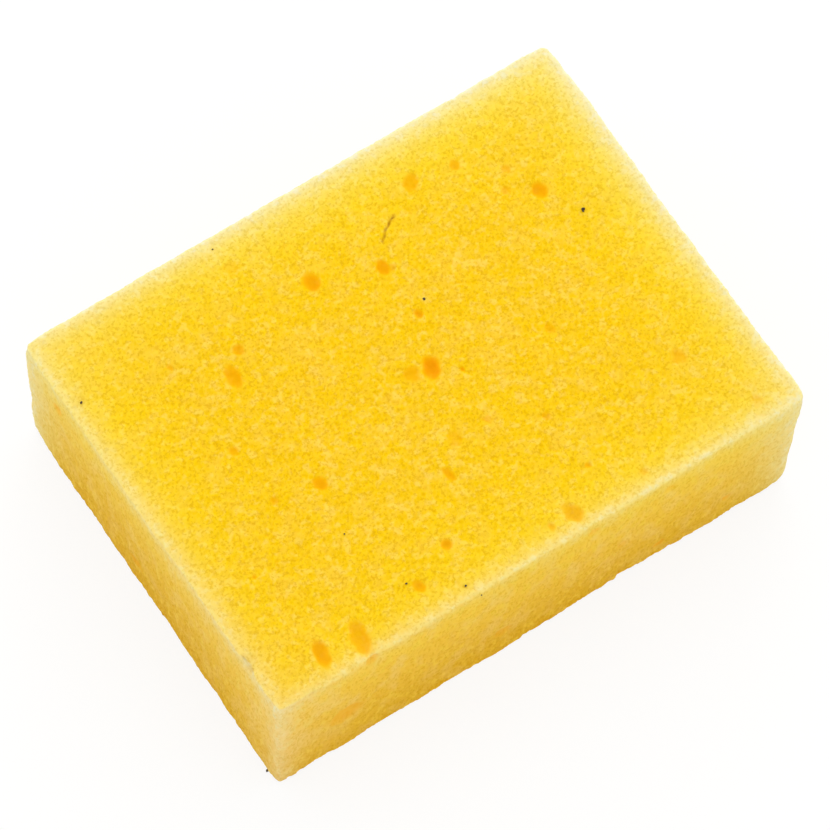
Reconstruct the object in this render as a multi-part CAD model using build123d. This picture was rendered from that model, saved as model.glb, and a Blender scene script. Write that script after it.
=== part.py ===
from build123d import *
import os

# A tiler's grout sponge: one rectangular block cut from soft open-cell foam.
# Millimetres. +X runs along the long side, +Y along the short side and +Z up.
# The origin is the centre of the face that the block rests on.

# Driving dimensions
LENGTH = 160.0  # along X, at the top face
WIDTH = 120.0  # along Y, at the top face
HEIGHT = 52.0
UNDERCUT = 1.2  # each side leans in by this much from the top edge down to the bottom edge
CORNER_RADIUS = 1.6  # the four upright corners
TOP_EDGE_RADIUS = 0.8
BOTTOM_EDGE_RADIUS = 1.1

# Gas bubbles that the cut laid open on the top face: (x, y, mouth radius, depth)
TOP_BUBBLES = [
    (4.0, -1.5, 2.9, 1.7),
    (-1.3, -0.3, 2.0, 0.8),
    (-8.6, 34.9, 2.6, 1.3),
    (8.8, 28.8, 2.0, 1.0),
    (28.2, 44.8, 2.3, 0.9),
    (55.0, 25.4, 2.3, 1.2),
    (-34.6, 29.3, 1.8, 0.8),
    (-39.8, 23.3, 2.8, 1.1),
    (-37.3, -13.3, 2.0, 1.0),
    (-19.7, -44.4, 1.6, 0.9),
    (12.1, -54.6, 2.6, 1.2),
    (-51.9, -53.7, 3.2, 1.4),
    (-62.4, -52.3, 2.8, 1.4),
]


def foam_block():
    """The cut block: a slightly undercut prism with its sharp edges taken off."""
    bottom = Rectangle(LENGTH - 2 * UNDERCUT, WIDTH - 2 * UNDERCUT)
    top = Pos(0, 0, HEIGHT) * Rectangle(LENGTH, WIDTH)
    block = Solid.make_loft([bottom.wire(), top.wire()], ruled=True)
    upright = block.edges().group_by(SortBy.LENGTH)[0]
    block = block.fillet(CORNER_RADIUS, upright)
    block = block.fillet(TOP_EDGE_RADIUS, block.edges().group_by(Axis.Z)[-1])
    return block.fillet(BOTTOM_EDGE_RADIUS, block.edges().group_by(Axis.Z)[0])


def bubble(x, y, mouth_radius, depth):
    """A sphere whose cap below the top face has the given mouth radius and depth."""
    radius = (mouth_radius**2 + depth**2) / (2 * depth)
    return Pos(x, y, HEIGHT + radius - depth) * Sphere(radius)


block = foam_block()
for place in TOP_BUBBLES:
    block -= bubble(*place)

os.makedirs("parts", exist_ok=True)
export_step(block, "parts/foam_block.step")
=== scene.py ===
"""A tiler's grout sponge: one block of soft open-cell foam on a pale studio floor.

The foam's skin is a closed surface worked out with numpy. Its cells, the gas bubbles that the cut
laid open, a slit, a nick and the grit caught in it are all real shapes.
Lengths are metres unless a property says otherwise.
"""
import math

import bpy
import numpy as np
from bpy.props import FloatProperty, FloatVectorProperty, PointerProperty
from mathutils import Matrix, Vector


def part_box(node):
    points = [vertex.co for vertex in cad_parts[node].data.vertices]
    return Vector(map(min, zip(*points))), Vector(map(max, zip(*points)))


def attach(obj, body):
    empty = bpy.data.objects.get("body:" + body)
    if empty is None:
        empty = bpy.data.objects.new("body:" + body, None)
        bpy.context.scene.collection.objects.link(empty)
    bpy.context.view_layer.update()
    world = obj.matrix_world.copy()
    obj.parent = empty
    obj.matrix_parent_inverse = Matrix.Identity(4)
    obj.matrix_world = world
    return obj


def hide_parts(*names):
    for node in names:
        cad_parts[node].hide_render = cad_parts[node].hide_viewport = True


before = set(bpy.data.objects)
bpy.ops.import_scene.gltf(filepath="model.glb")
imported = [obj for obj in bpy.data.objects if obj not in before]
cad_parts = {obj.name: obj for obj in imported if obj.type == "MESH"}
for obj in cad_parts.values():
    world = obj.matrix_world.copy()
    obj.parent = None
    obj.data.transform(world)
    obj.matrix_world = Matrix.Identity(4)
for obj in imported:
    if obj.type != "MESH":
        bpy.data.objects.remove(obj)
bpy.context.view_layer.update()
LOW, HIGH = (np.array(corner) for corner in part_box("foam_block"))
MIDDLE = (LOW + HIGH) / 2
HALF = (HIGH - LOW) / 2
MM = 0.001
SEED = 4127
CELL_STRETCH = 2.0  # the foam rose, so its cells are this many times as tall as wide

bl_info = {
    "name": "Grout Sponge",
    "version": (1, 0, 0),
    "blender": (4, 5, 0),
    "location": "View3D > Sidebar > Sponge",
    "description": "Builds a cut foam grout sponge and the studio around it",
    "category": "Add Mesh",
}

# Where things lie on the block, in millimetres from the middle of its top or bottom face.

# In the three bubble tables, darkness is how strongly the painted shade of a bubble's floor is laid
# on.
# Bubbles open on the top face: x, y, radius along x, radius along y, depth, darkness, and turn
# in degrees
TOP_BUBBLES = [
    (4.0, -1.5, 2.4, 3.7, 1.7, 1.0, -20),
    (-1.3, -0.3, 2.6, 2.2, 0.8, 0.45, 0),
    (-8.6, 34.9, 2.4, 2.9, 1.3, 0.75, 0),
    (9.1, 28.7, 1.7, 2.6, 1.0, 0.75, 0),
    (10.8, 27.4, 1.2, 1.4, 0.6, 0.2, 0),
    (28.2, 44.9, 2.1, 2.9, 0.9, 0.45, -45),
    (40.5, 43.1, 1.5, 1.6, 0.6, 0.45, 0),
    (55.0, 25.4, 2.2, 2.5, 1.2, 0.7, 0),
    (47.5, 29.9, 1.4, 1.4, 0.5, 0.35, 0),
    (-24.1, 49.3, 2.7, 2.3, 0.4, 0.15, 0),
    (-34.6, 29.1, 1.7, 1.6, 0.8, 0.52, 0),
    (-39.8, 23.3, 2.1, 3.8, 1.1, 0.6, -8),
    (9.5, 12.7, 1.2, 1.5, 0.8, 0.6, 0),
    (-37.3, -13.3, 1.8, 2.2, 1.0, 0.68, 12),
    (-8.5, -28.5, 1.2, 2.5, 0.8, 0.55, 14),
    (-19.7, -44.4, 1.7, 1.5, 0.9, 0.55, 0),
    (-31.7, -50.1, 1.5, 2.1, 0.7, 0.57, 15),
    (12.1, -54.4, 2.4, 3.3, 1.2, 0.37, 15),
    (-51.9, -53.9, 2.6, 5.1, 1.4, 0.47, -12),
    (-62.4, -52.3, 2.1, 4.1, 1.4, 0.62, -10),
    (68.6, -53.9, 1.6, 1.9, 0.4, 0.2, 0),
    (35.5, -8.6, 1.5, 1.8, 0.5, 0.35, 0),
    (10.5, -6.0, 0.7, 0.8, 0.6, 0.7, 0),
    (-1.8, -21.1, 2.0, 2.2, 0.4, 0.25, 0),
    (8.0, -21.2, 1.2, 1.3, 0.4, 0.3, 0),
    (-50.9, 6.1, 1.3, 1.5, 0.5, 0.45, 0),
    (-51.9, 34.4, 0.9, 1.0, 0.5, 0.35, 0),
    (5.4, -54.7, 1.2, 1.3, 0.5, 0.35, 0),
    (33.4, -54.6, 1.2, 1.2, 0.4, 0.25, 0),
    (21.2, -28.5, 1.2, 1.3, 0.4, 0.3, 0),
    (23.3, 38.6, 1.4, 1.3, 0.3, 0.12, 0),
    (51.1, 35.1, 1.3, 1.3, 0.4, 0.35, 0),
    (58.7, -32.9, 2.0, 2.3, 0.4, 0.33, 14),
    (-49.6, -10.8, 1.1, 1.2, 0.4, 0.4, 0),
    (-65.2, -25.8, 0.7, 0.7, 0.4, 0.4, 0),
    (22.5, -45.5, 0.9, 1.0, 0.4, 0.45, 0),
]
# Bubbles open on the long front side: x, height, radius along x, radius up, depth, darkness
FRONT_BUBBLES = [
    (-52.0, 49.8, 2.2, 2.6, 1.2, 0.15),
    (15.3, 46.1, 1.9, 2.2, 0.7, 0.2),
    (38.7, 45.0, 1.5, 2.0, 0.5, 0.1),
    (-58.7, 22.5, 5.2, 4.4, 0.9, 0.35),
    (25.3, 25.0, 1.7, 2.2, 0.5, 0.15),
    (58.7, 12.4, 1.5, 1.8, 0.7, 0.35),
    (38.0, 8.0, 2.0, 2.0, 0.8, 0.5),
    (-10.7, 13.2, 2.8, 2.6, 0.6, 0.3),
    (26.2, 2.0, 1.0, 1.3, 1.0, 1.0),
]
# Bubbles open on the short left side: y, height, radius along y, radius up, depth, darkness
LEFT_BUBBLES = [
    (-44.8, 51.6, 3.6, 2.6, 1.1, 0.0),
    (44.6, 40.0, 1.9, 2.4, 0.6, 0.3),
    (8.0, 12.0, 2.8, 2.6, 0.6, 0.35),
]
# How many bubbles lie open on the faces turned away: right side, back side, bottom
FAR_BUBBLES = (5, 7, 26)
# Grit on the block: x, y, height, radius
GRIT = [
    (61.4, 14.9, 52.0, 0.42),
    (61.1, 14.4, 52.0, 0.30),
    (13.0, 15.6, 52.0, 0.42),
    (-76.1, 38.2, 52.0, 0.31),
    (-21.8, -56.4, 52.0, 0.32),
    (-34.1, -47.9, 52.0, 0.30),
    (-24.9, 56.4, 52.0, 0.26),
    (-39.8, -28.1, 52.0, 0.24),
    (-19.4, -60.0, 50.2, 0.24),
    (-79.3, -54.6, 0.5, 0.42),
    (-78.6, -59.0, 14.8, 0.22),
]


class SpongeSizes(bpy.types.PropertyGroup):
    """Sizes of the block's edges and of its foam."""

    grid: FloatProperty(
        name="Grid", description="Spacing of the points that the skin is made of",
        default=0.4 * MM, min=0.2 * MM, unit="LENGTH", precision=5)
    undercut: FloatProperty(
        name="Undercut", description="How far the sides lean in towards the bottom",
        default=1.25 * MM, unit="LENGTH", precision=5)
    corner_radius: FloatProperty(
        name="Corner Radius", description="Radius of the four upright corners",
        default=1.6 * MM, unit="LENGTH", precision=5)
    top_radius: FloatProperty(
        name="Top Edge Radius", description="Radius of the top face's edges",
        default=0.8 * MM, unit="LENGTH", precision=5)
    bottom_radius: FloatProperty(
        name="Bottom Edge Radius", description="Radius of the bottom face's edges",
        default=1.1 * MM, unit="LENGTH", precision=5)
    vertex_wear: FloatProperty(
        name="Vertex Wear", description="How far the eight vertices are worn in",
        default=0.45 * MM, unit="LENGTH", precision=5)
    wave: FloatProperty(
        name="Cut Wave", description="How far the cut faces wander from flat",
        default=0.12 * MM, unit="LENGTH", precision=5)
    cell: FloatProperty(
        name="Cell Size", description="Spacing of the larger foam cells",
        default=1.25 * MM, unit="LENGTH", precision=5)
    cell_depth: FloatProperty(
        name="Cell Depth", description="Depth of the larger foam cells",
        default=0.22 * MM, unit="LENGTH", precision=5)
    rim_reach: FloatProperty(
        name="Rim Reach", description="How far the pale rim reaches in from an edge",
        default=2.5 * MM, unit="LENGTH", precision=5)
    rim_blur: FloatProperty(
        name="Rim Blur", description="How far the rim's brightest line is spread",
        default=0.9 * MM, unit="LENGTH", precision=5)
    veil_reach: FloatProperty(
        name="Veil Reach", description="How far the left side's own paleness reaches in",
        default=6.0 * MM, unit="LENGTH", precision=5)
    # Painted light: how far the light shining through the foam from behind reaches in from an edge.
    backlit_glow_reach: FloatProperty(
        name="Glow Reach", description="How far the lighter yellow reaches in from an edge",
        default=11.0 * MM, unit="LENGTH", precision=5)
    # Painted shade: the foot is left lighter beside the upright edges.
    foot_fade: FloatProperty(
        name="Foot Fade", description="How far the upright edges lighten the foot beside them",
        default=7.0 * MM, unit="LENGTH", precision=5)


class SpongeColours(bpy.types.PropertyGroup):
    """Colours of the foam and of the grit in it, and how the foam's speckle shows."""

    foam: FloatVectorProperty(
        name="Foam", description="The foam between its pores", subtype="COLOR", size=3,
        default=(0.90, 0.568, 0.0), min=0, max=1)
    wall: FloatVectorProperty(
        name="Cell Wall", description="The thin pale walls between cells", subtype="COLOR", size=3,
        default=(0.915, 0.622, 0.064), min=0, max=1)
    mottle: FloatVectorProperty(
        name="Mottle", description="The broad paler patches", subtype="COLOR", size=3,
        default=(0.92, 0.62, 0.19), min=0, max=1)
    # Painted shade: the tint that deepens the pores, standing in for the shade inside them.
    pore: FloatVectorProperty(
        name="Pore Tint", description="What a pore leaves of each colour", subtype="COLOR", size=3,
        default=(0.79, 0.655, 0.14), min=0, max=1)
    # Painted sheen: the sides get a paler, less saturated copy of the foam's colour than the top,
    # standing in for the sheen of the foam seen at a grazing angle.
    side: FloatVectorProperty(
        name="Side", description="The upper part of the sides", subtype="COLOR", size=3,
        default=(0.96, 0.58, 0.068), min=0, max=1)
    # Painted shade: the sides darken towards the floor.
    foot: FloatVectorProperty(
        name="Foot", description="The sides near the floor", subtype="COLOR", size=3,
        default=(0.715, 0.39, 0.012), min=0, max=1)
    # Painted light: a lighter yellow in from the edges, standing in for light shining through the
    # foam from behind.
    backlit_glow: FloatVectorProperty(
        name="Glow", description="The lighter foam some way in from the edges", subtype="COLOR",
        size=3, default=(0.92, 0.755, 0.015), min=0, max=1)
    # Partly the paler foam of the cut edges, partly painted light scattering through the edges.
    rim: FloatVectorProperty(
        name="Rim", description="The pale foam along the edges", subtype="COLOR", size=3,
        default=(0.825, 0.765, 0.50), min=0, max=1)
    # Painted shade: the deeper, more orange light inside an open bubble's bowl.
    bubble: FloatVectorProperty(
        name="Bubble", description="The floor of an open bubble", subtype="COLOR", size=3,
        default=(1.0, 0.28, 0.0), min=0, max=1)
    slit: FloatVectorProperty(
        name="Slit", description="The shadowed slit", subtype="COLOR", size=3,
        default=(0.45, 0.18, 0.01), min=0, max=1)
    grit: FloatVectorProperty(
        name="Grit", description="The dark grit", subtype="COLOR", size=3,
        default=(0.05, 0.03, 0.012), min=0, max=1)
    grit_light: FloatVectorProperty(
        name="Lighter Grit", description="The lighter patches of the grit", subtype="COLOR", size=3,
        default=(0.10, 0.06, 0.02), min=0, max=1)
    patch_size: FloatProperty(
        name="Patch Size", description="Size of the broad paler patches",
        default=4.8 * MM, unit="LENGTH", precision=5)
    grain_size: FloatProperty(
        name="Grain Size", description="Size of the pale grain between the pores",
        default=2.1 * MM, unit="LENGTH", precision=5)
    fleck_size: FloatProperty(
        name="Fleck Size", description="Size of the small dark pores",
        default=0.75 * MM, unit="LENGTH", precision=5)
    pore_share: FloatProperty(
        name="Pore Share", description="How far the pores tint the foam",
        default=0.76, min=0, max=1)
    # How far the painted shade of a bubble's floor is laid on.
    bubble_share: FloatProperty(
        name="Bubble Share", description="How far a bubble's floor takes its own colour",
        default=0.53, min=0, max=1)
    bubble_cover: FloatProperty(
        name="Bubble Cover", description="How much of the grain is lost in a bubble",
        default=0.85, min=0, max=1)
    slit_share: FloatProperty(
        name="Slit Share", description="How far the slit takes its own colour",
        default=0.85, min=0, max=1)
    scatter: FloatProperty(
        name="Scatter", description="How far light spreads in the foam",
        default=3.0 * MM, unit="LENGTH", precision=5)
    scatter_share: FloatProperty(
        name="Scatter Share", description="How much of the light spreads in the foam",
        default=0.3, min=0, max=1)


class StudioSettings(bpy.types.PropertyGroup):
    """The camera, the lamps, the room and the floor."""

    azimuth: FloatProperty(
        name="Azimuth", description="The camera's turn about the block", subtype="ANGLE",
        default=math.radians(-36.71))
    elevation: FloatProperty(
        name="Elevation", description="The camera's height above the horizon", subtype="ANGLE",
        default=math.radians(65.85))
    roll: FloatProperty(
        name="Roll", description="The camera's turn about its own axis", subtype="ANGLE",
        default=math.radians(3.73))
    distance: FloatProperty(
        name="Distance", description="From the camera to the block's middle", unit="LENGTH",
        default=1.910)
    lens: FloatProperty(
        name="Lens", description="Focal length, in millimetres", unit="CAMERA", default=321.9)
    aim: FloatVectorProperty(
        name="Aim", description="How far the view's middle lies right of and above the block's",
        size=2, unit="LENGTH", default=(0.68 * MM, -0.63 * MM))
    overhead: FloatProperty(
        name="Overhead", description="Power of the overhead lamp", unit="POWER", default=5.5)
    back: FloatProperty(
        name="Back", description="Power of the lamp behind the block", unit="POWER", default=4.7)
    walls: FloatProperty(
        name="Walls", description="Brightness of the room's walls", default=1.8)
    ceiling: FloatProperty(
        name="Ceiling", description="Brightness of the room's ceiling", default=0.48)
    backdrop: FloatProperty(
        name="Backdrop", description="Brightness of the room as the eye sees it", default=1.05)
    floor: FloatVectorProperty(
        name="Floor", description="The floor's colour", subtype="COLOR", size=3,
        default=(0.62, 0.62, 0.615), min=0, max=1)
    floor_shine: FloatProperty(
        name="Floor Shine", description="What the floor adds of its own to the eye", default=0.84)


# ---------------------------------------------------------------- the block's shape


def box_grids(counts):
    """Six grids that meet along the twelve edges of a box.

    Each face is a grid over two of the three axes. A point is named by three whole numbers, its
    steps along x, y and z, and points of two faces with the same name become one.
    Returns the names scaled to 0 to 1, and the squares between them, facing outwards.
    """
    counts = np.array(counts)
    strides = np.array([1, counts[0] + 1, (counts[0] + 1) * (counts[1] + 1)])
    quads = []
    for axis in range(3):
        u, v = (axis + 1) % 3, (axis + 2) % 3
        along_u, along_v = np.meshgrid(
            np.arange(counts[u]), np.arange(counts[v]), indexing="ij")
        for side in (0, 1):
            corner = along_u * strides[u] + along_v * strides[v]
            corner = corner + side * counts[axis] * strides[axis]
            ring = np.stack([
                corner, corner + strides[u],
                corner + strides[u] + strides[v], corner + strides[v]], axis=-1).reshape(-1, 4)
            quads.append(ring if side else ring[:, ::-1])
    names, quads = np.unique(np.concatenate(quads), return_inverse=True)
    steps = np.stack([
        names % strides[1], names % strides[2] // strides[1], names // strides[2]], axis=1)
    return steps / counts, quads.reshape(-1, 4)


def rounded_block(share, sizes):
    """Points and outward normals of the block, from places on a unit box.

    In plan, a point in a corner's square is drawn in along its ray from the square's inner corner
    until the square's outline becomes a quarter circle. Up the section, the same is done with the
    square where a side meets the top or bottom face. The front right corner is worn rounder than
    the rest, and all eight vertices are worn down by a bell. Last, the plan shrinks with depth,
    less at the back, and less towards the front left corner, whose weight is (1 - x)(1 - y) / 4
    with x and y from -1 to 1.
    """
    plan = (share[:, :2] * 2 - 1) * HALF[:2]
    radius = sizes.corner_radius * np.where((plan[:, 0] > 0) & (plan[:, 1] < 0), 1.4, 1.0)
    past = np.maximum(np.abs(plan) - (HALF[:2] - radius[:, None]), 0)
    reach = np.hypot(past[:, 0], past[:, 1])
    draw = np.where(reach > 0, past.max(axis=1) / np.maximum(reach, 1e-12), 1)
    plan = np.sign(plan) * (np.abs(plan) - past + past * draw[:, None])
    past *= draw[:, None]
    reach = np.hypot(past[:, 0], past[:, 1])
    to_sides = HALF[:2] - np.abs(plan)
    nearest = to_sides == to_sides.min(axis=1)[:, None]
    outward = np.where(reach[:, None] > 0, past / np.maximum(reach, 1e-12)[:, None], nearest)
    outward *= np.sign(plan)
    inset = np.where(reach > 0, radius - reach, to_sides.min(axis=1))

    height = share[:, 2] * 2 * HALF[2]
    upper = share[:, 2] > 0.5
    turn = np.where(upper, sizes.top_radius, sizes.bottom_radius)
    depth = np.where(upper, 2 * HALF[2] - height, height)
    across, up = np.clip(turn - inset, 0, turn), np.clip(turn - depth, 0, turn)
    length = np.maximum(np.hypot(across, up), 1e-12)
    new_inset = np.where(across > 0, turn - turn * across / length, inset)
    new_depth = np.where(up > 0, turn - turn * up / length, depth)
    new_inset = np.where(up > 0, new_inset, inset)
    new_depth = np.where(across > 0, new_depth, depth)
    plan -= outward * (new_inset - inset)[:, None]
    height = np.where(upper, 2 * HALF[2] - new_depth, new_depth)

    corner = np.prod(1 - plan / HALF[:2], axis=1) / 4
    lean = sizes.undercut * (1 - 0.45 * np.maximum(corner, 0) ** 1.5) * (1 - height / (2 * HALF[2]))
    lean = np.column_stack([lean, lean * np.where(plan[:, 1] > 0, 0.4, 1.0)])
    lean = 1 - lean / HALF[:2]
    points = np.column_stack([plan * lean, height]) + [MIDDLE[0], MIDDLE[1], LOW[2]]
    to_vertex = np.linalg.norm(np.abs(points - MIDDLE) - HALF, axis=1)
    worn = sizes.vertex_wear * np.exp(-(to_vertex / (4 * MM)) ** 2)
    points -= np.sign(points - MIDDLE) * worn[:, None] / math.sqrt(3)
    normals = np.column_stack([
        outward * (across / length)[:, None], np.where(upper, 1, -1) * up / length])
    return points, normals


def edge_masks(points, normals, sizes):
    """How much of the pale rim, the glow, the side and the foot each point has, from 0 to 1.

    Along x and y a point lies some depth in from the nearest side, and along z from the top. The
    larger of the top's depth and the lesser side depth is the way to the top face's outline, and
    the larger side depth is the way to an upright edge. Rim and glow fall off with these ways as
    exponentials, and the way to the outline is blurred a little. The rim is partly the paler foam
    of the cut edges and partly painted light scattering through the edges; the glow is all painted
    light. Both are stronger towards the far right corner: painted light from behind. The rim is
    weaker on the front and left sides than on the top, and broader near the left side, which is
    veiled all over. Upright edges hardly show on the top face. The foot is painted shade: it
    deepens with the way down, less beside an upright edge and more in the middle of the left side.
    """
    place = (points[:, :2] - MIDDLE[:2]) / HALF[:2]
    far = place.sum(axis=1) / 2
    sides = np.maximum(HALF[:2] * (1 - np.abs(place)), 0)
    down = np.maximum(HIGH[2] - points[:, 2], 0)
    to_outline = np.hypot(np.maximum(sides.min(axis=1), down), sizes.rim_blur)
    to_upright = sides.max(axis=1)
    side = 1 - normals[:, 2] ** 2
    left = np.exp(-np.maximum(points[:, 0] - LOW[0], 0) / sizes.veil_reach)
    low = np.clip(down / (2 * HALF[2]), 0, 1)

    # Painted light: the rim is stronger and reaches further on the faces turned away and towards
    # the far right corner, where light from behind shines through the edges.
    away = np.clip(normals[:, :2], 0, 1).max(axis=1)
    strength = (0.98 + 0.36 * far) * (1 - 0.54 * side * (1 - away))
    strength += left * side * (0.56 - 0.06 * place[:, 1] - strength)
    strength -= 0.2 * left * (1 - side)
    reach = 1.05 + 0.1 * far + 0.18 * np.tanh(4 * far) + 0.25 * side
    reach += left * (0.4 - 0.6 * place[:, 1])
    outline = strength * np.exp(-to_outline / (sizes.rim_reach * reach))
    seen = side + (1 - side) * (0.32 - 0.2 * np.abs(far))
    upright = seen * (0.74 + 0.30 * far) * np.exp(
        -to_upright / (sizes.rim_reach * (3.4 + 1.4 * far) * (1 - 0.3 * low ** 2)))
    # Painted light: the backlit glow, stronger towards the far right corner.
    backlit_glow = (0.6 + 0.4 * far) * np.exp(-to_outline / sizes.backlit_glow_reach)
    backlit_glow_up = (0.2 + 0.8 * side) * (0.5 + 0.5 * far) * np.exp(-to_upright / sizes.backlit_glow_reach)
    veil = 0.05 * left * side * (1 - 0.5 * low)
    # Painted shade: darker towards the floor, less beside an upright edge and more in the middle of
    # the left side.
    foot = low ** 1.4 * (1 - 0.35 * np.exp(-to_upright / sizes.foot_fade))
    foot += 0.8 * left * low * (1 - low) * (1 - place[:, 1] ** 2)
    return {
        "rim": 1 - (1 - np.clip(outline, 0, 1)) * (1 - np.clip(upright, 0, 1)) * (1 - veil),
        "backlit_glow": 1 - (1 - np.clip(backlit_glow, 0, 1)) * (1 - np.clip(backlit_glow_up, 0, 1)),
        "side": side,
        "foot": side * foot,
    }


# ---------------------------------------------------------------- what the foam does to it


def waves(points, seed, count, shortest, longest):
    """A sum of plane waves in random directions, each with its own length and phase, scaled to
    a spread of about one."""
    draw = np.random.default_rng(seed)
    direction = draw.normal(size=(count, 3))
    direction /= np.linalg.norm(direction, axis=1)[:, None]
    length = np.exp(draw.uniform(math.log(shortest), math.log(longest), count))
    phase = draw.uniform(0, 2 * math.pi, count)
    total = np.zeros(len(points))
    for way, span, start in zip(direction, length, phase):
        total += np.sin(points @ way * (2 * math.pi / span) + start)
    return total * math.sqrt(2 / count)


def foam_cells(points, size, seed):
    """Nearest-centre cells. Space is cut into cubes with one centre placed at random in each,
    picked from a table by a hash of the cube's place.
    Returns the distance to the nearest centre over the cell size, how much nearer it is than
    the next one, and the nearest centre's own random number."""
    draw = np.random.default_rng(seed)
    table = draw.random((4096, 4))  # a power of two, so that a mask ends the hash
    place = points / size
    home = np.floor(place).astype(np.int64)
    first = np.full(len(points), 9.0)
    second = np.full(len(points), 9.0)
    number = np.zeros(len(points))
    steps = np.stack(np.meshgrid(*[[-1, 0, 1]] * 3, indexing="ij"), axis=-1).reshape(-1, 3)
    for step in steps:
        cube = home + step
        mixed = cube[:, 0] * 73856093 ^ cube[:, 1] * 19349663 ^ cube[:, 2] * 83492791
        centre = table[mixed & (len(table) - 1)]
        away = np.linalg.norm(place - cube - centre[:, :3], axis=1)
        nearer = away < first
        second = np.where(nearer, first, np.minimum(second, away))
        number = np.where(nearer, centre[:, 3], number)
        first = np.where(nearer, away, first)
    return first, second - first, number


def bubble_places():
    """Every open bubble as its centre, its radii, its depth, its darkness and its turn about the
    height, in metres and radians. On the faces turned away they lie at random, with radii of 1 to
    2.6 mm, more of them small."""
    for x, y, rx, ry, deep, dark, turn in TOP_BUBBLES:
        radii = (rx * MM, ry * MM, max(rx, ry) * MM)
        yield (x * MM, y * MM, HIGH[2]), radii, deep * MM, dark, math.radians(turn)
    for x, z, rx, rz, deep, dark in FRONT_BUBBLES:
        yield (x * MM, LOW[1], z * MM), (rx * MM, max(rx, rz) * MM, rz * MM), deep * MM, dark, 0.0
    for y, z, ry, rz, deep, dark in LEFT_BUBBLES:
        yield (LOW[0], y * MM, z * MM), (max(ry, rz) * MM, ry * MM, rz * MM), deep * MM, dark, 0.0
    draw = np.random.default_rng(SEED + 6)
    for axis, end, count in zip((0, 1, 2), (HIGH[0], HIGH[1], LOW[2]), FAR_BUBBLES):
        for centre in draw.uniform(LOW + 5 * MM, HIGH - 5 * MM, (count, 3)):
            centre[axis] = end
            radii = (1 + 1.6 * draw.random() ** 2) * MM * draw.uniform(0.85, 1.25, 3)
            yield centre, radii, draw.uniform(0.4, 0.6) * radii.max(), draw.uniform(0.2, 0.7), 0.0


def open_bubbles(points):
    """Depth and darkness of the bubbles. A bubble is the bowl of an ellipsoid: with r the distance
    from its centre over its radii, roughened a little, the depth goes as 1 - r*r to the power 0.8.
    The darkness, painted shade on the bowl's floor, holds over most of the bowl and fades out a
    little past its edge."""
    depth, dark = np.zeros(len(points)), np.zeros(len(points))
    ragged = 1 + 0.045 * waves(points, SEED + 5, 14, 2.0 * MM, 6.0 * MM)
    for centre, radii, deep, shade, turn in bubble_places():
        away = points - centre
        away[:, :2] = away[:, :2] @ [
            [math.cos(turn), -math.sin(turn)], [math.sin(turn), math.cos(turn)]]
        r = np.linalg.norm(away / radii, axis=1) * ragged
        bowl = np.clip(1 - r * r, 0, 1) ** 0.8
        depth = np.maximum(depth, deep * bowl)
        dark = np.maximum(dark, shade * np.clip((1.2 - r) / 0.55, 0, 1))
    return depth, dark


def slit(points):
    """Depth and darkness of the shallow slit in the top face. It follows a short arc: a point's
    place along it is its share of the chord, and the arc bows by 4 s (1 - s) of its sagitta."""
    start, end = np.array([12.5, 34.1]) * MM, np.array([20.2, 39.8]) * MM
    deep, half_width, sagitta, waver = 0.5 * MM, 0.6 * MM, 0.7 * MM, 0.12 * MM
    chord = end - start
    span = np.linalg.norm(chord)
    along = chord / span
    side = np.array([-along[1], along[0]])
    offset = points[:, :2] - start
    s = offset @ along / span
    bow = sagitta * 4 * s * (1 - s) + waver * np.sin(s * 19)
    away = np.abs(offset @ side - bow)
    ends = np.clip(np.minimum(s, 1 - s) / 0.10, 0, 1)
    on_top = points[:, 2] > HIGH[2] - 1.5 * MM
    line = np.clip(1 - away / half_width, 0, 1) * ends * on_top
    return deep * line, line * (0.75 + 0.25 * np.sin(s * 31))


def nick(points):
    """Push of the tear in the front side's foot, towards the back and half as much up. It sets in
    over 1.8 mm of x, heals over the next 40 mm, and dies out with height and depth. A bell in x
    arches the foot a little on both sides of it."""
    x = points[:, 0] - 24.6 * MM
    onset = np.clip(x / (1.8 * MM), 0, 1)
    onset *= onset * (3 - 2 * onset)
    tear = onset * np.exp(-np.maximum(x, 0) / (20 * MM)) + 0.4 * np.exp(-(x / (14 * MM)) ** 2)
    y = (points[:, 1] - LOW[1]) / (7 * MM)
    push = 0.7 * MM * tear * np.exp(-(points[:, 2] - LOW[2]) / (5 * MM) - y * y)
    return np.column_stack([np.zeros(len(x)), push, 0.5 * push])


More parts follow.
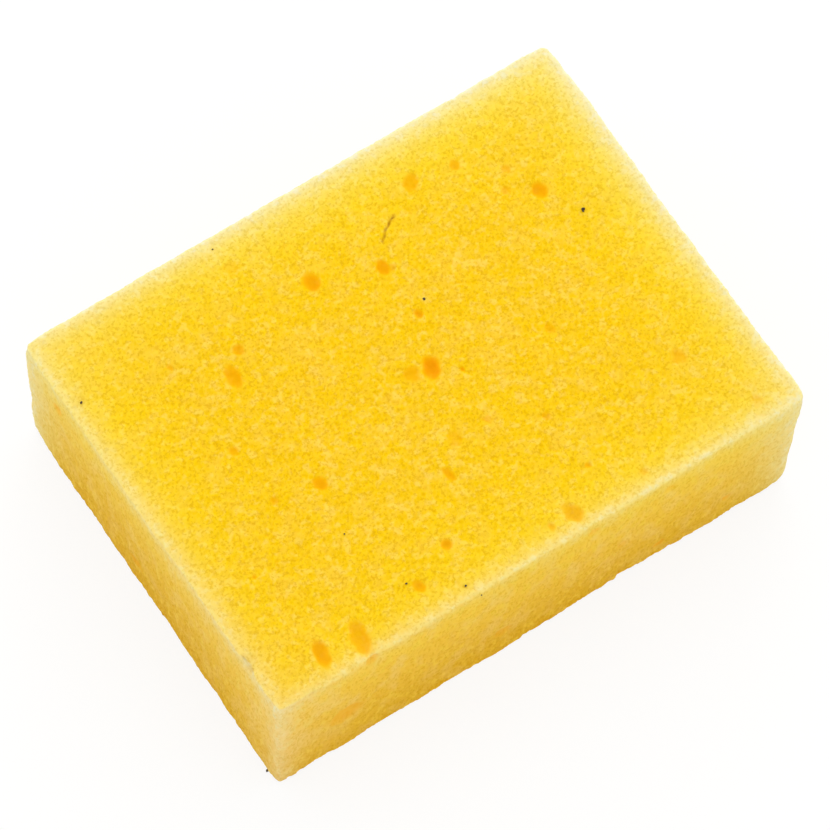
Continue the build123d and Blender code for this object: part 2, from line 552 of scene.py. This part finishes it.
def foam_surface(sizes):
    """The finished skin: the rounded block, moved along its normals by the cut's slow waves, the
    cells, the bubbles and the slit, and torn at the nick. Nothing goes below the floor.
    Returns points, squares and the masks that the material reads."""
    counts = np.maximum(np.round(2 * HALF / sizes.grid).astype(int), 8)
    share, quads = box_grids(counts)
    points, normals = rounded_block(share, sizes)
    masks = edge_masks(points, normals, sizes)

    foot = np.exp(-(points[:, 2] - LOW[2]) / (4 * MM))
    drift = sizes.wave * waves(points, SEED, 22, 9 * MM, 60 * MM)
    rise = points * [1, 1, 1 / CELL_STRETCH]
    drift += (0.38 + 0.12 * foot) * sizes.wave * waves(rise, SEED + 1, 26, 2.0 * MM, 7 * MM)
    centre, wall, number = foam_cells(rise, sizes.cell, SEED + 2)
    pit = np.clip(1 - (centre / 0.62) ** 2, 0, 1) * (0.35 + 0.65 * number)
    small, _, small_number = foam_cells(rise, sizes.cell * 0.62, SEED + 3)
    pock = np.clip(1 - (small / 0.55) ** 2, 0, 1) * (small_number > 0.35)
    bowl, dark = open_bubbles(points)
    groove, line = slit(points)

    sunk = sizes.cell_depth * (pit + 0.45 * pock) + bowl + groove
    points = points + normals * (drift - sunk)[:, None]
    points += nick(points)
    points[:, 2] = np.maximum(points[:, 2], LOW[2])

    masks["bubble"] = np.clip(dark, 0, 1)
    masks["slit"] = np.clip(line, 0, 1)
    # Painted shade: the pore tint follows the depth of the cell pits.
    masks["pore"] = np.clip(0.75 * pit + 0.45 * pock, 0, 1)
    masks["wall"] = np.clip(1 - wall / 0.28, 0, 1)
    return points, quads, masks


def crumbs(places, rows=7, columns=10):
    """Grains of grit. Each is a globe over latitude and longitude whose radius is a smooth random
    bump on the mean, closed at its poles by one point each, and sunk by a third into the foam."""
    draw = np.random.default_rng(SEED + 9)
    lat = np.linspace(-math.pi / 2, math.pi / 2, rows)[1:-1]
    lon = np.linspace(0, 2 * math.pi, columns, endpoint=False)
    lat, lon = (grid.ravel() for grid in np.meshgrid(lat, lon, indexing="ij"))
    globe = np.column_stack([np.cos(lat) * np.cos(lon), np.cos(lat) * np.sin(lon), np.sin(lat)])
    globe = np.vstack([globe, [0, 0, -1], [0, 0, 1]])
    row, column = (g.ravel() for g in np.meshgrid(
        np.arange(rows - 3), np.arange(columns), indexing="ij"))
    after = (column + 1) % columns
    quads = np.column_stack([
        row * columns + column, row * columns + after,
        (row + 1) * columns + after, (row + 1) * columns + column])
    ring, step = np.arange(columns), (np.arange(columns) + 1) % columns
    low, last = len(globe) - 2, (rows - 3) * columns
    caps = np.concatenate([
        np.column_stack([np.full(columns, low), step, ring]),
        np.column_stack([np.full(columns, low + 1), last + ring, last + step])])
    points, squares, triangles = [], [], []
    for x, y, z, radius in places:
        centre = np.array([x, y, z]) * MM
        bumps = 1 + 0.22 * waves(globe, int(draw.integers(1 << 30)), 6, 1.0, 3.0)
        squash = draw.uniform(0.75, 1.2, 3)
        base = sum(len(p) for p in points)
        points.append(centre + globe * squash * bumps[:, None] * radius * MM)
        squares.append(quads + base)
        triangles.append(caps + base)
    return np.vstack(points), np.vstack(squares), np.vstack(triangles)


def make_mesh(name, points, *rings):
    """A mesh object at the origin from arrays of points and of squares or triangles."""
    mesh = bpy.data.meshes.new(name)
    corners = np.concatenate([ring.ravel() for ring in rings])
    totals = np.concatenate([np.full(len(ring), ring.shape[1]) for ring in rings])
    starts = np.concatenate([[0], np.cumsum(totals)[:-1]])
    mesh.vertices.add(len(points))
    mesh.vertices.foreach_set("co", points.astype(np.float32).ravel())
    mesh.loops.add(len(corners))
    mesh.loops.foreach_set("vertex_index", corners.astype(np.int32))
    mesh.polygons.add(len(totals))
    mesh.polygons.foreach_set("loop_start", starts.astype(np.int32))
    mesh.update(calc_edges=True)
    mesh.validate()
    mesh.shade_smooth()
    piece = bpy.data.objects.new(name, mesh)
    bpy.context.scene.collection.objects.link(piece)
    return piece


def add_mask(mesh, name, values):
    """One number per point, under a name that a material can read."""
    layer = mesh.attributes.new(name, "FLOAT", "POINT")
    layer.data.foreach_set("value", values.astype(np.float32))


# ---------------------------------------------------------------- materials


def node(tree, kind, inputs=None, **settings):
    """A shader node with its settings and input values or links."""
    made = tree.nodes.new(kind)
    for key, value in settings.items():
        setattr(made, key, value)
    for key, value in (inputs or {}).items():
        socket = made.inputs[key]
        if isinstance(value, bpy.types.NodeSocket):
            tree.links.new(value, socket)
        else:
            socket.default_value = value
    return made


def maths(tree, operation, a, b=0.0, clamp=False):
    """The result of one sum on values or links."""
    made = node(tree, "ShaderNodeMath", {0: a, 1: b}, operation=operation, use_clamp=clamp)
    return made.outputs[0]


def mix_colour(tree, share, a, b, blend="MIX"):
    """Colour a with its share of b laid over it, or multiplied in."""
    made = node(tree, "ShaderNodeMix", data_type="RGBA", clamp_factor=True, blend_type=blend)
    for key, value in ((0, share), (6, a), (7, b)):
        if isinstance(value, bpy.types.NodeSocket):
            tree.links.new(value, made.inputs[key])
        else:
            made.inputs[key].default_value = value if key == 0 else (*value[:3], 1)
    return made.outputs[2]


def ramp(tree, value, low, high):
    """0 below low and 1 above high, smoothly."""
    return node(tree, "ShaderNodeMapRange", {0: value, 1: low, 2: high}, clamp=True,
                interpolation_type="SMOOTHSTEP").outputs[0]


def mask(tree, name):
    """The number that each point carries under this name."""
    return node(tree, "ShaderNodeAttribute", attribute_name=name).outputs["Fac"]


def speckle_group():
    """A node group: soft speckle at three sizes in millimetres, on the object's own coordinates
    and stretched along the height as the cells are."""
    if "Foam Speckle" in bpy.data.node_groups:
        return bpy.data.node_groups["Foam Speckle"]
    tree = bpy.data.node_groups.new("Foam Speckle", "ShaderNodeTree")
    for name, value in (("Coarse Size", 2.0), ("Fine Size", 0.7), ("Fleck Size", 0.6)):
        socket = tree.interface.new_socket(name, in_out="INPUT", socket_type="NodeSocketFloat")
        socket.default_value = value
    for name in ("Coarse", "Fine", "Fleck"):
        tree.interface.new_socket(name, in_out="OUTPUT", socket_type="NodeSocketFloat")
    given = tree.nodes.new("NodeGroupInput").outputs
    result = tree.nodes.new("NodeGroupOutput")
    place = tree.nodes.new("ShaderNodeTexCoord").outputs["Object"]
    place = node(tree, "ShaderNodeVectorMath", {0: place, 1: (1.0, 1.0, 1 / CELL_STRETCH)},
                 operation="MULTIPLY").outputs[0]

    for name, detail, roughness in (("Coarse", 2.0, 0.5), ("Fine", 1.5, 0.55), ("Fleck", 1.0, 0.6)):
        per_metre = maths(tree, "DIVIDE", 1 / MM, given[name + " Size"])
        noise = node(tree, "ShaderNodeTexNoise", {
            "Vector": place, "Scale": per_metre, "Detail": detail, "Roughness": roughness})
        tree.links.new(noise.outputs["Fac"], result.inputs[name])
    return tree


def speckle(tree, coarse, fine, fleck):
    """The speckle group's outputs, for three sizes in millimetres."""
    made = node(tree, "ShaderNodeGroup", node_tree=speckle_group())
    for key, value in (("Coarse Size", coarse), ("Fine Size", fine), ("Fleck Size", fleck)):
        made.inputs[key].default_value = value
    return made.outputs


def new_material(name):
    """An empty material, and its node tree."""
    made = bpy.data.materials.new(name)
    made.use_nodes = True
    made.node_tree.nodes.clear()
    return made, made.node_tree


def finish_material(tree, shader):
    """Makes the shader the material's surface."""
    out = tree.nodes.new("ShaderNodeOutputMaterial")
    tree.links.new(shader.outputs[0], out.inputs["Surface"])


def foam_material(colours):
    """Soft yellow foam: pale cell walls, painted shade deepening the pores, painted shade turning
    the bubble floors orange, a pale rim that is partly the cut edges' own paleness and partly
    painted light, sides painted paler than the top as a sheen, and painted shade darkening the
    sides towards the foot. Inside a bubble the grain is faint."""
    made, tree = new_material("foam")
    side = mask(tree, "side")
    foot = mask(tree, "foot")
    bubble = mask(tree, "bubble")
    covered = ramp(tree, bubble, 0.0, 0.55)
    covered = maths(tree, "MULTIPLY", covered, colours.bubble_cover)
    plain = maths(tree, "SUBTRACT", 1.0, covered)
    grain = speckle(tree, *(size / MM for size in (
        colours.patch_size, colours.grain_size, colours.fleck_size)))
    wall = ramp(tree, grain["Fine"], 0.50, 0.70)
    wall = maths(tree, "ADD", wall, maths(tree, "MULTIPLY", mask(tree, "wall"), 0.25), clamp=True)
    cloud = ramp(tree, grain["Coarse"], 0.42, 0.72)
    fleck = ramp(tree, grain["Fleck"], 0.53, 0.30)
    pore = maths(tree, "MULTIPLY", mask(tree, "pore"), 0.45)
    pore = maths(tree, "MAXIMUM", maths(tree, "MULTIPLY", fleck, 0.8), pore)

    # The sides take the painted sheen colour above and the painted shade towards the floor.
    colour = mix_colour(tree, foot, colours.side, colours.foot)
    colour = mix_colour(tree, side, colours.foam, colour)
    pale = maths(tree, "SUBTRACT", 1.0, maths(tree, "MULTIPLY", side, 0.5))
    pale = maths(tree, "MULTIPLY", maths(tree, "MULTIPLY", wall, pale), plain)
    colour = mix_colour(tree, pale, colour, colours.wall)
    # Part of the painted sheen: more pale mottle on the sides, less towards the foot.
    patch = maths(tree, "MULTIPLY", maths(tree, "SUBTRACT", side, foot), 0.4)
    patch = maths(tree, "MULTIPLY", cloud, maths(tree, "ADD", 0.15, patch))
    colour = mix_colour(tree, maths(tree, "MULTIPLY", patch, plain), colour, colours.mottle)
    # Painted light: the backlit glow in from the edges.
    backlit_glow = maths(tree, "MULTIPLY", mask(tree, "backlit_glow"), plain)
    colour = mix_colour(tree, backlit_glow, colour, colours.backlit_glow)
    # The pale rim: partly the cut edges' own paleness, partly painted light through the edges.
    grainy = maths(tree, "ADD", 0.9, maths(tree, "MULTIPLY", wall, 0.4))
    rim = maths(tree, "MULTIPLY", mask(tree, "rim"), grainy, clamp=True)
    rim = maths(tree, "MULTIPLY", rim, plain)
    colour = mix_colour(tree, rim, colour, colours.rim)
    fade = maths(tree, "SUBTRACT", colours.pore_share, maths(tree, "MULTIPLY", rim, 0.5))
    fade = maths(tree, "SUBTRACT", fade, maths(tree, "MULTIPLY", side, 0.08))
    fade = maths(tree, "MULTIPLY", fade, plain)
    # Painted shade in the pores and dark flecks.
    tint = maths(tree, "MULTIPLY", pore, fade)
    colour = mix_colour(tree, tint, colour, colours.pore, "MULTIPLY")
    # Painted shade: the bubble floors turn a deeper orange.
    orange = maths(tree, "MULTIPLY", bubble, colours.bubble_share)
    colour = mix_colour(tree, orange, colour, colours.bubble)
    shadow = maths(tree, "MULTIPLY", mask(tree, "slit"), colours.slit_share)
    colour = mix_colour(tree, shadow, colour, colours.slit)

    height = maths(tree, "SUBTRACT", grain["Fine"], maths(tree, "MULTIPLY", pore, 0.8))
    bump = node(tree, "ShaderNodeBump", {"Strength": 0.3, "Distance": 0.12 * MM, "Height": height})
    rough = maths(tree, "ADD", 0.82, maths(tree, "MULTIPLY", pore, 0.14))
    shader = node(tree, "ShaderNodeBsdfPrincipled", {
        "Base Color": colour, "Roughness": rough, "Normal": bump.outputs[0],
        "Specular IOR Level": 0.05, "Subsurface Weight": colours.scatter_share,
        "Subsurface Scale": colours.scatter, "Subsurface Radius": (1.0, 0.75, 0.45)})
    finish_material(tree, shader)
    return made


def grit_material(colours):
    """Dark mineral grit, dull and slightly uneven in colour."""
    made, tree = new_material("grit")
    grain = speckle(tree, 0.6, 0.2, 0.2)
    lighter = ramp(tree, grain["Coarse"], 0.45, 0.7)
    colour = mix_colour(tree, lighter, colours.grit, colours.grit_light)
    bump = node(tree, "ShaderNodeBump", {
        "Strength": 0.5, "Distance": 0.05 * MM, "Height": grain["Fine"]})
    rough = maths(tree, "ADD", 0.55, maths(tree, "MULTIPLY", grain["Fine"], 0.3))
    shader = node(tree, "ShaderNodeBsdfPrincipled", {
        "Base Color": colour, "Roughness": rough, "Normal": bump.outputs[0]})
    finish_material(tree, shader)
    return made


def floor_material(studio):
    """Matt pale board with the faintest unevenness. To the eye it is darker but shines a little,
    so that it looks near white and still takes a faint shadow."""
    made, tree = new_material("studio_floor")
    grain = speckle(tree, 60.0, 4.0, 4.0)
    pale = tuple(studio.floor)
    colour = mix_colour(tree, grain["Coarse"], pale, tuple(0.985 * c for c in pale))
    seen = tree.nodes.new("ShaderNodeLightPath").outputs["Is Camera Ray"]
    colour = mix_colour(tree, seen, colour, tuple(0.25 * c for c in pale))
    shader = node(tree, "ShaderNodeBsdfPrincipled", {
        "Base Color": colour, "Roughness": 0.9, "Specular IOR Level": 0.1,
        "Emission Color": (1, 1, 1, 1),
        "Emission Strength": maths(tree, "MULTIPLY", seen, studio.floor_shine)})
    finish_material(tree, shader)
    return made


# ---------------------------------------------------------------- operators


class SPONGE_OT_foam_block(bpy.types.Operator):
    """Make the foam block in place of the plain solid"""

    bl_idname = "sponge.foam_block"
    bl_label = "Foam Block"

    def execute(self, context):
        scene = context.scene
        points, quads, masks = foam_surface(scene.sponge_sizes)
        piece = make_mesh("foam_sponge", points, quads)
        for name, values in masks.items():
            add_mask(piece.data, name, values)
        piece.data.materials.append(foam_material(scene.sponge_colours))
        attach(piece, "root")
        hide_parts("foam_block")
        return {"FINISHED"}


class SPONGE_OT_grit(bpy.types.Operator):
    """Make the grains of grit caught in the foam"""

    bl_idname = "sponge.grit"
    bl_label = "Grit"

    def execute(self, context):
        points, squares, triangles = crumbs(GRIT)
        piece = make_mesh("grit_specks", points, squares, triangles)
        piece.data.materials.append(grit_material(context.scene.sponge_colours))
        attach(piece, "root")
        return {"FINISHED"}


class SPONGE_OT_stage(bpy.types.Operator):
    """Make the floor, the lamps, the room and the camera"""

    bl_idname = "sponge.stage"
    bl_label = "Stage"

    def execute(self, context):
        scene = context.scene
        studio = scene.sponge_studio
        self.floor(studio)
        self.lamps(studio)
        self.room(scene, studio)
        self.camera(scene, studio)
        scene.view_settings.view_transform = "Standard"
        return {"FINISHED"}

    def floor(self, studio):
        """A wide round floor: rings of points about the middle, level everywhere."""
        rings, spokes, reach = 12, 64, 9.0
        radius = np.linspace(0, 1, rings)[1:] ** 2 * reach
        turn = np.linspace(0, 2 * math.pi, spokes, endpoint=False)
        radius, turn = (g.ravel() for g in np.meshgrid(radius, turn, indexing="ij"))
        points = np.column_stack([
            radius * np.cos(turn), radius * np.sin(turn), np.full(len(turn), LOW[2])])
        points = np.vstack([points, [0, 0, LOW[2]]])
        row, column = (g.ravel() for g in np.meshgrid(
            np.arange(rings - 2), np.arange(spokes), indexing="ij"))
        after = (column + 1) % spokes
        quads = np.column_stack([
            row * spokes + column, (row + 1) * spokes + column,
            (row + 1) * spokes + after, row * spokes + after])
        hub = np.column_stack([
            np.full(spokes, len(points) - 1), np.arange(spokes), (np.arange(spokes) + 1) % spokes])
        piece = make_mesh("studio_floor", points, quads, hub)
        piece.data.materials.append(floor_material(studio))

    def lamps(self, studio):
        """Two square soft lamps, each turned towards the block."""
        for name, place, size, power in (
                ("overhead", (0.25, 0.35, 1.6), 1.3, studio.overhead),
                ("back", (0.9, 1.2, 0.55), 0.9, studio.back)):
            lamp = bpy.data.lights.new(name, "AREA")
            lamp.size = size
            lamp.energy = power
            holder = bpy.data.objects.new(name, lamp)
            holder.location = place
            way = Vector(MIDDLE) - Vector(place)
            holder.rotation_euler = way.to_track_quat("-Z", "Y").to_euler()
            bpy.context.scene.collection.objects.link(holder)

    def room(self, scene, studio):
        """A room that is plain white to the eye, and lights the block more from its walls than
        from its ceiling."""
        world = bpy.data.worlds.new("studio_room")
        world.use_nodes = True
        tree = world.node_tree
        tree.nodes.clear()
        way = tree.nodes.new("ShaderNodeTexCoord").outputs["Generated"]
        upward = node(tree, "ShaderNodeSeparateXYZ", {0: way}).outputs["Z"]
        light = node(tree, "ShaderNodeMapRange", {
            0: upward, 3: studio.walls, 4: studio.ceiling})
        seen = tree.nodes.new("ShaderNodeLightPath").outputs["Is Camera Ray"]
        strength = node(tree, "ShaderNodeMix", {
            0: seen, 2: light.outputs[0], 3: studio.backdrop}, data_type="FLOAT")
        shine = node(tree, "ShaderNodeBackground", {
            "Color": (1, 1, 1, 1), "Strength": strength.outputs[0]})
        out = tree.nodes.new("ShaderNodeOutputWorld")
        tree.links.new(shine.outputs[0], out.inputs["Surface"])
        scene.world = world

    def camera(self, scene, studio):
        """A long lens, turned about its own axis by the roll and moved aside by the aim."""
        a, e = studio.azimuth, studio.elevation
        back = Vector((math.sin(a) * math.cos(e), -math.cos(a) * math.cos(e), math.sin(e)))
        right = Vector((math.cos(a), math.sin(a), 0))
        up = back.cross(right)
        turned = Matrix.Rotation(studio.roll, 3, back)
        right, up = turned @ right, turned @ up
        lens = bpy.data.cameras.new("camera")
        lens.lens = studio.lens
        lens.sensor_width = 36.0
        lens.clip_start, lens.clip_end = 0.1, 50.0
        camera = bpy.data.objects.new("camera", lens)
        place = Vector(MIDDLE) + back * studio.distance + right * studio.aim[0] + up * studio.aim[1]
        facing = Matrix((right, up, back)).transposed().to_4x4()
        camera.matrix_world = Matrix.Translation(place) @ facing
        scene.collection.objects.link(camera)
        scene.camera = camera


class SPONGE_PT_panel(bpy.types.Panel):
    """The sponge's sizes and colours, the studio, and a button for each step"""

    bl_label = "Grout Sponge"
    bl_space_type = "VIEW_3D"
    bl_region_type = "UI"
    bl_category = "Sponge"

    def draw(self, context):
        layout = self.layout
        for title, group in (("Sizes", "sponge_sizes"), ("Colours", "sponge_colours"),
                             ("Studio", "sponge_studio")):
            box = layout.box()
            box.label(text=title)
            settings = getattr(context.scene, group)
            for name in settings.bl_rna.properties.keys():
                if name not in {"rna_type", "name"}:
                    box.prop(settings, name)
        for step in STEPS:
            layout.operator(step.bl_idname)


STEPS = (SPONGE_OT_foam_block, SPONGE_OT_grit, SPONGE_OT_stage)
CLASSES = (SpongeSizes, SpongeColours, StudioSettings, *STEPS, SPONGE_PT_panel)


def register():
    for item in CLASSES:
        bpy.utils.register_class(item)
    bpy.types.Scene.sponge_sizes = PointerProperty(type=SpongeSizes)
    bpy.types.Scene.sponge_colours = PointerProperty(type=SpongeColours)
    bpy.types.Scene.sponge_studio = PointerProperty(type=StudioSettings)


def unregister():
    del bpy.types.Scene.sponge_studio
    del bpy.types.Scene.sponge_colours
    del bpy.types.Scene.sponge_sizes
    for item in reversed(CLASSES):
        bpy.utils.unregister_class(item)


def main():
    """Makes the pieces and the stage."""
    register()
    bpy.ops.sponge.foam_block()
    bpy.ops.sponge.grit()
    bpy.ops.sponge.stage()
    bpy.context.view_layer.update()


if __name__ == "__main__":
    main()
